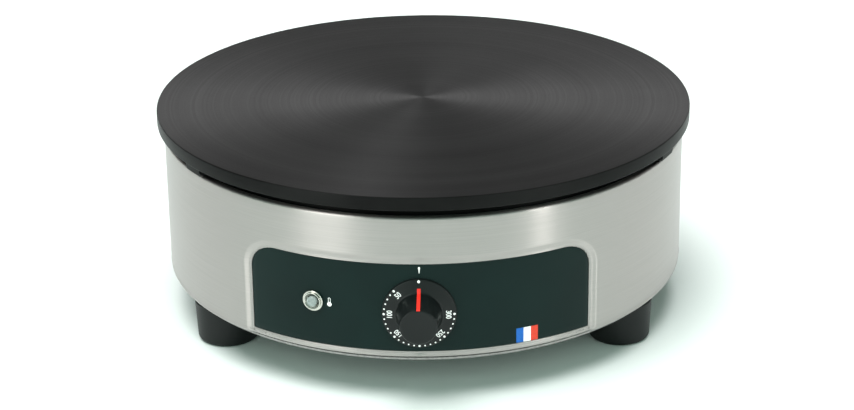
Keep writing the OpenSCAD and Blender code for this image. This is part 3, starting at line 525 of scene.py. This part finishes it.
corner_x = panel_half - corner_r
dense_x = panel_half + border_w + fine
halves = spread(0, corner_x, 5 * MM) + spread(corner_x, panel_half, fine)
halves += spread(panel_half, dense_x, fine) + spread(dense_x, front_half, 4 * MM) + [front_half]
columns = [-x for x in reversed(halves[1:])] + halves
front_turn = math.degrees(math.asin(front_half / drum_r))
rear_turns = spread(front_turn, 360 - front_turn, 2.25)[1:]

top_rows = [(drum_r - top_roll - top_flange, drum_crest)]
top_rows += arc((drum_r - top_roll, drum_crest - top_roll), top_roll, 90, 0, 6)
wall = spread(drum_crest - top_roll, panel_top + border_w + fine, 5 * MM)[1:]
wall += spread(panel_top + border_w + fine, panel_top, fine) + spread(panel_top, panel_top - corner_r, fine)
wall += spread(panel_top - corner_r, panel_floor + 3 * fine, 4 * MM)
wall += spread(panel_floor + 3 * fine, panel_floor - 3 * fine, fine)
wall += [panel_floor - 3 * fine]
low_rows = arc((drum_r - bottom_roll, drum_floor + bottom_roll), bottom_roll, 0, -90, 5)
profile = top_rows + [(drum_r, z) for z in wall] + low_rows

drum = bmesh.new()
grid = []
for radius, height in profile:
    row = []
    for x in columns:
        side, level, depth = pressed_in(x, height)
        on_wall = radius > drum_r - 1e-7
        if not on_wall:
            side, level = x * radius / drum_r, height
        out = math.sqrt((radius - depth) ** 2 - side ** 2)
        row.append(drum.verts.new((side, -out, level)))
    for turn in rear_turns:
        angle = math.radians(turn)
        row.append(drum.verts.new((radius * math.sin(angle), -radius * math.cos(angle), height)))
    grid.append(row)
inner = []
for corner in grid[-1]:
    angle = math.atan2(corner.co.x, -corner.co.y)
    edge_x = bottom_opening * math.sin(angle)
    edge_y = -bottom_opening * math.cos(angle)
    inner.append(drum.verts.new((edge_x, edge_y, drum_floor)))
grid.append(inner)
for upper, lower in zip(grid, grid[1:]):
    for k in range(len(upper)):
        n = (k + 1) % len(upper)
        drum.faces.new((upper[k], upper[n], lower[n], lower[k]))
drum_piece = keep("drum", drum, finishes["stainless"], ["body_shell"])
sheet = drum_piece.modifiers.new("sheet", "SOLIDIFY")
sheet.thickness = sheet_t
sheet.offset = -1
print("drum faces:", len(drum_piece.data.polygons))

# %% [markdown]
# ## Control panel
# The panel is a thin plate bent to the drum, with two round upper corners and two sharp lower
# ones. Its rows get narrower through the round corners, which keeps every face four-sided, where
# trimming a wider plate would leave slivers. The plate is then thickened, and its edges are
# broken, as on any cut plate.

# %% Control panel
panel_t = 1.4 * MM
panel_edge = 0.2 * MM
panel_columns = 64
half = panel_high.x
corner = corner_r - panel_fit
rows = [(half, z) for z in spread(panel_low.z, panel_high.z - corner, 5 * MM)]
rows += [(half - corner + dx, panel_high.z - corner + dz) for dx, dz in arc((0, 0), corner, 0, 90, 18)]


def on_panel(x, z, lift=0.0):
    """The point of the panel's face behind a place seen from the front."""
    return Vector((x, -math.sqrt((panel_r + lift) ** 2 - x * x), z))


panel = bmesh.new()
lines = []
for width, level in rows:
    lines.append([panel.verts.new(on_panel(width * (2 * k / panel_columns - 1), level))
                  for k in range(panel_columns + 1)])
for lower, upper in zip(lines, lines[1:]):
    for k in range(panel_columns):
        panel.faces.new((lower[k], lower[k + 1], upper[k + 1], upper[k]))
panel_piece = keep("panel", panel, finishes["panel_black"], ["control_panel"])
plate_thick = panel_piece.modifiers.new("plate", "SOLIDIFY")
plate_thick.thickness = panel_t
plate_thick.offset = -1
broken = panel_piece.modifiers.new("edges", "BEVEL")
broken.width = panel_edge
broken.segments = 2
broken.limit_method = "ANGLE"
broken.angle_limit = math.radians(50)
print("panel:", panel_columns, "by", len(rows))

# %% [markdown]
# ## Prints on the panel
# A print is a thin film of ink. Each is drawn flat, in millimetres round the drum and up, and
# then laid on the curved face. There is an index line over the knob, a small thermometer beside
# the pilot light and a patch of three stripes at the lower edge. The prints could be colour
# on the panel's own surface, but as pieces of their own they keep crisp edges at any distance.

# %% Prints on the panel
film = 0.06 * MM
# Each ink carries painted glow, a little emission, though no print is a lamp.
white_ink = ink("white_ink", paint(0.9, 0.91, 0.89), painted_glow=0.25)
blue_ink = ink("blue_ink", paint(0.0, 0.12, 0.5), painted_glow=0.1)
red_ink = ink("red_ink", paint(0.78, 0.05, 0.02), painted_glow=0.1)


def lay_film(name, outlines, finish, lay, body):
    """Makes one piece of ink from flat outlines in millimetres. lay puts a flat point in place."""
    shape = bmesh.new()
    for outline in outlines:
        top = [shape.verts.new(lay(x, y, film)) for x, y in outline]
        low = [shape.verts.new(lay(x, y, 0.0)) for x, y in outline]
        shape.faces.new(top)
        for k in range(len(top)):
            n = (k + 1) % len(top)
            shape.faces.new((top[k], low[k], low[n], top[n]))
        shape.faces.new(low[::-1])
    return keep(name, shape, finish, [], body)


def round_panel(x, z, lift):
    turn = x * MM / panel_r
    reach = panel_r + lift
    return Vector((reach * math.sin(turn), -reach * math.cos(turn), z * MM))


level = knob_z / MM
index_x = 0.25
index_top = level + 33.9
index_low = level + 29.2
index_mark = arc((index_x, index_top - 0.7), 0.72, 0, 180, 8)
index_mark += [(index_x - 0.2, index_low), (index_x + 0.2, index_low)]
lay_film("index_mark", [index_mark], white_ink, round_panel, "root")

stripe_w = 5.5
stripe_left = 68.9
stripe_low = panel_low.z / MM + 0.15
stripe_high = stripe_low + 11.1
for k, finish in enumerate((blue_ink, white_ink, red_ink)):
    left = stripe_left + k * stripe_w
    xs = [left + stripe_w * s / 3 for s in range(4)]
    outline = [(x, stripe_low) for x in xs] + [(x, stripe_high) for x in reversed(xs)]
    lay_film(f"stripe_{k + 1}", [outline], finish, round_panel, "root")

gauge_x = -64.0
gauge_z = level + 1.1
gauge_r = 1.7
stem_half = 0.95
stem_line = 0.42
stem_top = level + 5.2
leg_low = gauge_z + 1.2
bulb = arc((gauge_x, gauge_z), gauge_r, 0, 360, 24)[:-1]
left_leg = [(gauge_x - stem_half, leg_low), (gauge_x - stem_half + stem_line, leg_low),
            (gauge_x - stem_half + stem_line, stem_top), (gauge_x - stem_half, stem_top)]
right_leg = [(2 * gauge_x - x, z) for x, z in reversed(left_leg)]
cap = arc((gauge_x, stem_top), stem_half, 0, 180, 10)
cap += arc((gauge_x, stem_top), stem_half - stem_line, 180, 0, 10)
lay_film("gauge_mark", [bulb, left_leg, right_leg, cap], white_ink, round_panel, "root")

# %% [markdown]
# ## Thermostat knob
# The knob is one moulding: a flat skirt that slopes up like a shallow cone, and a tapered grip
# that rises from it through a small hollow curve. That curve catches the light as a fine arc,
# so it is part of the outline. Each corner is rounded by one helper that finds the arc between
# two straight lines, so a radius can be changed without redrawing the rest.

# %% Thermostat knob
knob_front = knob_high.y - knob_low.y
skirt_h = 2.5 * MM
skirt_round = 1.0 * MM
skirt_break = 0.2 * MM
dial_top = 4.5 * MM
grip_base = 16.2 * MM
grip_tip = 13 * MM
grip_round = 1.6 * MM
grip_fillet = 2 * MM
dish = 0.35 * MM
dial_slope = (skirt_h - dial_top) / (skirt_r - grip_base)


def fillet(corner, to_a, to_b, radius, steps=8):
    """An arc that rounds the corner between two straight lines."""
    a = (Vector(to_a) - Vector(corner)).normalized()
    b = (Vector(to_b) - Vector(corner)).normalized()
    half_angle = a.angle(b) / 2
    middle = Vector(corner) + (a + b).normalized() * radius / math.sin(half_angle)
    first = Vector(corner) + a * radius / math.tan(half_angle)
    last = Vector(corner) + b * radius / math.tan(half_angle)
    start = first - middle
    turn = start.angle_signed(last - middle)
    points = []
    for k in range(steps + 1):
        spun = start.copy()
        spun.rotate(Matrix.Rotation(-turn * k / steps, 2))
        points.append(tuple(middle + spun))
    return points


lip = (grip_tip, knob_front)
base_point = (grip_base, dial_top)
face = [(grip_tip * k / 5, knob_front - dish * math.sin(math.pi / 2 * (1 - k / 5))) for k in (4, 3, 2, 1, 0)]
knob_line = [(0, 0), (skirt_r - skirt_break, 0), (skirt_r, skirt_break)]
knob_line += fillet((skirt_r, skirt_h), (skirt_r, 0), base_point, skirt_round, 8)
knob_line += fillet(base_point, (skirt_r, skirt_h), lip, grip_fillet)
knob_line += fillet(lip, base_point, (0, knob_front), grip_round)
knob_line += face
to_front = Matrix.Translation((0, knob_back, knob_z)) @ Matrix.Rotation(math.radians(90), 4, "X")
knob_piece = keep("knob_moulding", spin(knob_line, 160, to_front), finishes["knob_black"],
                  ["knob"], "knob")
print("knob outline:", len(knob_line), "points")

# %% [markdown]
# ## Pointer
# The red pointer is a strip let into the knob. It follows the outline from the skirt and up the
# side of the grip to its front edge, a touch proud of the black. A cut through the knob and a
# strip set in it would do, but the strip's own section, carried along the knob's outline, can
# neither float nor sink when the knob is changed.

# %% Pointer
pointer_half = 1.2 * MM
pointer_proud = 0.22 * MM
pointer_start = 19.6 * MM
pointer_end = 12.4 * MM
start_height = dial_top + (pointer_start - grip_base) * dial_slope
climb = [p for p in knob_line if pointer_end < p[0] < pointer_start and p[1] > skirt_h + 0.5 * MM]
path = [(pointer_start, start_height)] + climb
pointer_sunk = -0.3 * MM
pointer_shoulder = pointer_proud * 0.4
flat_share = 0.85
pointer_section = [(-1, pointer_sunk), (-1, pointer_shoulder), (-flat_share, pointer_proud),
                   (flat_share, pointer_proud), (1, pointer_shoulder), (1, pointer_sunk)]
pointer = bmesh.new()
strips = []
for k, (radius, height) in enumerate(path):
    ahead = Vector(path[min(k + 1, len(path) - 1)]) - Vector(path[max(k - 1, 0)])
    normal = Vector((ahead.y, -ahead.x)).normalized()
    normal = normal if normal.x + normal.y > 0 else -normal
    ring = []
    for side, proud in pointer_section:
        x = side * pointer_half
        r = radius + normal.x * proud
        front = height + normal.y * proud
        ring.append(pointer.verts.new(to_front @ Vector((x, math.sqrt(r * r - x * x), front))))
    strips.append(ring)
for one, two in zip(strips, strips[1:]):
    for k in range(len(one)):
        n = (k + 1) % len(one)
        pointer.faces.new((one[k], one[n], two[n], two[k]))
pointer.faces.new(strips[0])
pointer.faces.new(strips[-1])
pointer_piece = keep("pointer", pointer, finishes["pointer_red"], ["knob_pointer"], "knob")
print("pointer path:", len(path), "points")

# %% [markdown]
# ## Dial
# Dots run round the skirt every nine degrees, with larger ones at the numbers, which count from
# 50 to 300. Their tops point outwards. A flat drawing of each is laid on the sloping skirt. The
# numbers start as letter outlines, are turned into meshes and then bent like the dots, because
# a flat number would cut into a skirt that slopes. The ink stands off by a few times its own
# thickness, so that the rounded edge of the skirt doesn't come through the big dots.

# %% Dial
dot_circle = 24.5
dial_lift = 3
dot_step = 9
number_step = 45
first_dot = number_step
last_dot = 270
dot_r = 0.6
big_dot_r = 0.85
off_dot_r = 1.0
number_circle = 20.6
number_height = 3.8
number_width = 0.78
letter_swell = 0.015
skirt_line = sorted(point for point in knob_line if point[0] > grip_base and point[1] > 0.5 * MM)


def dial_height(radius):
    """How far the skirt stands out at a radius, read off the knob's outline."""
    for near, far in zip(skirt_line, skirt_line[1:]):
        if near[0] <= radius <= far[0] and far[0] > near[0]:
            return near[1] + (far[1] - near[1]) * (radius - near[0]) / (far[0] - near[0])
    return dial_top


def on_dial(x, y, lift):
    """A flat point of the dial, in millimetres seen from the front, on the sloping skirt."""
    return to_front @ Vector((x * MM, y * MM, dial_height(math.hypot(x, y) * MM) + lift * dial_lift))


def round_dial(turn, radius):
    """A place on the dial, with the turn counted from the top against the clock."""
    return -radius * math.sin(math.radians(turn)), radius * math.cos(math.radians(turn))


dots = [arc(round_dial(0, dot_circle), off_dot_r, 0, 360, 14)[:-1]]
for turn in range(first_dot, last_dot + 1, dot_step):
    size = big_dot_r if turn % number_step == 0 else dot_r
    dots.append(arc(round_dial(turn, dot_circle), size, 0, 360, 12)[:-1])
lay_film("dial_dots", dots, white_ink, on_dial, "knob")

for count, value in enumerate(range(50, 301, 50)):
    turn = math.radians(number_step * (count + 1))
    letters = bpy.data.curves.new(f"number_{value}", "FONT")
    letters.body = str(value)
    letters.align_x = "CENTER"
    letters.offset = letter_swell
    sample = bpy.data.objects.new(f"letters_{value}", letters)
    bpy.context.scene.collection.objects.link(sample)
    bpy.context.view_layer.update()
    flat = bpy.data.meshes.new_from_object(sample.evaluated_get(bpy.context.evaluated_depsgraph_get()))
    bpy.data.objects.remove(sample)
    tall = max(v.co.y for v in flat.vertices)
    shape = bmesh.new()
    shape.from_mesh(flat)
    bpy.data.meshes.remove(flat)
    for corner_vert in shape.verts:
        across = corner_vert.co.x / tall * number_height * number_width
        up = (corner_vert.co.y / tall - 0.5) * number_height + number_circle
        x = -up * math.sin(turn) + across * math.cos(turn)
        y = up * math.cos(turn) + across * math.sin(turn)
        corner_vert.co = on_dial(x, y, film)
    piece = keep(f"number_{value}", shape, white_ink, [], "knob")
    thick = piece.modifiers.new("film", "SOLIDIFY")
    thick.thickness = film
    thick.offset = 0
print("dots:", len(dots))

# %% [markdown]
# ## Pilot light
# A bright stepped ring holds a milky lens. The ring is turned from plated brass, so its edges
# are softly rounded and every step throws its own line of light. Inside the collar a funnel
# slopes back to the lens, and the lens has a small dimple at its middle. Cylinders with a bevel
# would give the steps, but an outline of its own gives the funnel and the roundings as well.

# %% Pilot light
pilot_turn = math.radians(-22.6)
pilot_z = knob_z + 2.4 * MM
to_pilot = (Matrix.Rotation(pilot_turn, 4, "Z") @ Matrix.Translation((0, -panel_r, pilot_z))
            @ Matrix.Rotation(math.radians(90), 4, "X"))
bezel_r = 7.75 * MM
bezel_back = 0.2 * MM
bezel_break = 0.1 * MM
flange_t = 1.6 * MM
flange_round = 0.6 * MM
collar_r = bezel_r - 1.2 * MM
collar_top = 2.6 * MM
collar_round = 0.35 * MM
funnel_top = bezel_r - 1.9 * MM
funnel_r = 4.1 * MM
funnel_back = 0.75 * MM
funnel_step = 0.3 * MM
bezel_bore = bezel_r - 2.4 * MM
bezel = [(bezel_bore, bezel_back), (bezel_r - bezel_break, bezel_back), (bezel_r, bezel_back + bezel_break)]
bezel += arc((bezel_r - flange_round, flange_t - flange_round), flange_round, 0, 90, 6)
bezel += [(collar_r, flange_t)]
bezel += arc((collar_r - collar_round, collar_top - collar_round), collar_round, 0, 90, 5)
bezel += [(funnel_top, collar_top), (funnel_r, funnel_back + funnel_step), (funnel_r, funnel_back),
          (bezel_bore, funnel_back)]
keep("bezel", spin(bezel, 96, to_pilot, closed=True), finishes["chrome"], ["pilot_bezel"])
lens_r = 3.8 * MM
lens_out = 4 * MM
lens_back = -8 * MM
lens_round = 1.1 * MM
dimple_r = 1.2 * MM
dimple = 0.3 * MM
lens_line = [(0, lens_back), (lens_r, lens_back)]
lens_line += arc((lens_r - lens_round, lens_out - lens_round), lens_round, 0, 85, 6)
lens_line += [(dimple_r * 1.3, lens_out), (dimple_r, lens_out - dimple * 0.2),
              (dimple_r * 0.7, lens_out - dimple), (0, lens_out - dimple)]
keep("lens", spin(lens_line, 64, to_pilot), finishes["lens"], ["pilot_lens"])
print("pilot light at", round(math.degrees(pilot_turn), 1), "degrees")

# %% [markdown]
# ## Feet
# Each foot is a round, slightly tapered block of black plastic with a well rounded lower edge
# and a pocket below for the bolt. A tapered cylinder with a bevel would do, yet an outline gives
# the pocket and the rounding at once. It is spun three times, since the real feet come out of
# one mould, and each foot's own solid shows where it stands.

# %% Feet
foot_top = 24 * MM
foot_bottom = 22.5 * MM
foot_round = 4 * MM
pocket = 10.5 * MM
pocket_h = 11 * MM
pocket_break = 0.4 * MM
foot_break = 0.6 * MM
foot_lean = 0.1 * MM
foot_h = foot_high.z
foot_line = [(0, pocket_h), (pocket, pocket_h), (pocket, pocket_break), (pocket + pocket_break, 0)]
foot_line += arc((foot_bottom - foot_round, foot_round), foot_round, -90, 0, 10)
foot_line += [(foot_top - foot_lean, foot_h - foot_break), (foot_top - foot_break, foot_h), (0, foot_h)]
feet = ("foot_left", "foot_right", "foot_rear")
for name in feet:
    low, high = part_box(name)
    middle = Matrix.Translation(((low.x + high.x) / 2, (low.y + high.y) / 2, 0))
    keep(name + "_moulding", spin(foot_line, 128, middle), finishes["foot_black"], [name])
print("feet:", len(feet))

# %% [markdown]
# ## Studio
# The appliance stands on a pale floor that fills the whole frame. The main light is a wide one
# almost straight above, so the shadow stays under the drum. Soft boxes add the broad shine at
# the left of the drum, the narrow one at its right, and the rays on the griddle. The room is a
# plain glow round it all, slightly green in front and dim overhead at the back.
#
# One lamp can't place a shine and a shadow at once without spoiling either. So the boxes are
# seen only as shine, and the main light and the fill only light what they fall on. The knob is
# left out of mirror rays, because the steel above it would show it too sharply.


# %% Studio
def softbox(name, place, aim, size, power, colour=(1, 1, 1)):
    light = bpy.data.lights.new(name, "AREA")
    light.shape = "RECTANGLE"
    light.size, light.size_y = size
    light.energy = power
    light.color = colour
    lamp = bpy.data.objects.new(name, light)
    bpy.context.scene.collection.objects.link(lamp)
    lamp.location = place
    lamp.rotation_mode = "QUATERNION"
    lamp.rotation_quaternion = (Vector(aim) - Vector(place)).to_track_quat("-Z", "Y")
    return lamp


def round_room(turn, reach, height):
    """A place in the room: turn from the front in degrees, to the right."""
    return (reach * math.sin(math.radians(turn)), -reach * math.cos(math.radians(turn)), height)


floor_finish = Finish("floor", Roughness=0.9)
floor_noise = floor_finish.noise(floor_finish.place(), 3.0, 2.0)
floor_colour = floor_finish.mix(floor_noise, paint(0.82, 0.87, 0.85), paint(0.84, 0.885, 0.865))
floor_finish.wear(Base_Color=floor_colour)
floor_mesh = bpy.data.meshes.new("floor")
floor_half = 8.0
floor_corners = [(-floor_half, -floor_half, 0), (floor_half, -floor_half, 0),
                 (floor_half, floor_half, 0), (-floor_half, floor_half, 0)]
floor_mesh.from_pydata(floor_corners, [], [(0, 1, 2, 3)])
floor_mesh.materials.append(floor_finish.material)
floor_piece = bpy.data.objects.new("floor", floor_mesh)
bpy.context.scene.collection.objects.link(floor_piece)

world = bpy.data.worlds.new("room")
bpy.context.scene.world = world
room = Finish("room", room=world)
towards = room.node("ShaderNodeTexCoord", output="Generated")
height = room.node("ShaderNodeSeparateXYZ", {}, {0: towards}, output="Z")
behind = room.node("ShaderNodeSeparateXYZ", {}, {0: towards}, output="Y")
wall_light = 0.34
ceiling_light = 0.1
front_wall = paint(0.92, 1.36, 1.17)
rear_wall = paint(0.9, 0.9, 0.9)
rear = behind.from_to(-0.3, 0.2)
room.wear(Color=room.mix(rear, front_wall, rear_wall),
          Strength=wall_light - rear * height.from_to(0.35, 0.75) * (wall_light - ceiling_light))

key = bpy.data.lights.new("key", "SUN")
key.energy = 4.0
key.angle = math.radians(46)
key_lamp = bpy.data.objects.new("key", key)
bpy.context.scene.collection.objects.link(key_lamp)
key_lamp.rotation_mode = "QUATERNION"
key_lamp.rotation_quaternion = Vector((-0.13, -0.16, 1)).to_track_quat("Z", "Y")

heart = (0, 0, 0.09)
warm = (1, 0.99, 0.97)
left_box = softbox("left_box", place=round_room(-39, 1.9, 0.85), aim=heart, size=(0.75, 1.4), power=13,
                   colour=warm)
right_strip = softbox("right_strip", place=round_room(49, 1.7, 0.5), aim=heart, size=(0.06, 0.9), power=4,
                      colour=warm)
back_wall = softbox("back_wall", place=(0, 1.9, 0.95), aim=heart, size=(2.4, 0.36), power=6.6)
ray_box = softbox("ray_box", place=(-0.25, 0.96, 1.75), aim=heart, size=(0.1, 0.5), power=6.5)
front_fill = softbox("front_fill", place=round_room(0, 2.2, 1.3), aim=heart, size=(2.6, 1.2), power=15,
                     colour=(0.8, 1, 0.91))
for shine_only in (left_box, right_strip, back_wall, ray_box):
    shine_only.visible_diffuse = False
for unmirrored in (key_lamp, front_fill, knob_piece, pointer_piece):
    unmirrored.visible_glossy = False
bpy.context.scene.view_settings.view_transform = "Standard"

# %% [markdown]
# ## Camera
# The appliance is seen from almost straight in front and a little over twenty degrees above the
# table, through a long lens. A shorter lens from nearer would show the same width, but the front
# would swell and the feet would lean. The slight roll is that of a camera held by hand, and the
# aim is set in millimetres on the appliance itself.

# %% Camera
frame_width = 854
lens_pixels = 2356.2
sensor = 36.0
camera_height = math.radians(22.569)
camera_turn = math.radians(1.3)
camera_roll = math.radians(-0.725)
camera_reach = 1.81
aim_side = 1.92 * MM
aim_height = shell_low.z + 36.7 * MM
back = Vector((math.sin(camera_turn) * math.cos(camera_height),
               -math.cos(camera_turn) * math.cos(camera_height), math.sin(camera_height)))
right = Vector((math.cos(camera_turn), math.sin(camera_turn), 0))
up = back.cross(right)
rolled_right = math.cos(camera_roll) * right + math.sin(camera_roll) * up
rolled_up = -math.sin(camera_roll) * right + math.cos(camera_roll) * up
turned = Matrix((rolled_right, rolled_up, back)).transposed()
aim = right * aim_side + Vector((0, 0, aim_height))
eye = bpy.data.cameras.new("camera")
eye.sensor_width = sensor
eye.lens = lens_pixels * sensor / frame_width
eye.clip_start = 0.05
camera = bpy.data.objects.new("camera", eye)
bpy.context.scene.collection.objects.link(camera)
camera.matrix_world = Matrix.Translation(aim + back * camera_reach) @ turned.to_4x4()
bpy.context.scene.camera = camera
print(f"lens: {eye.lens:.1f} mm")
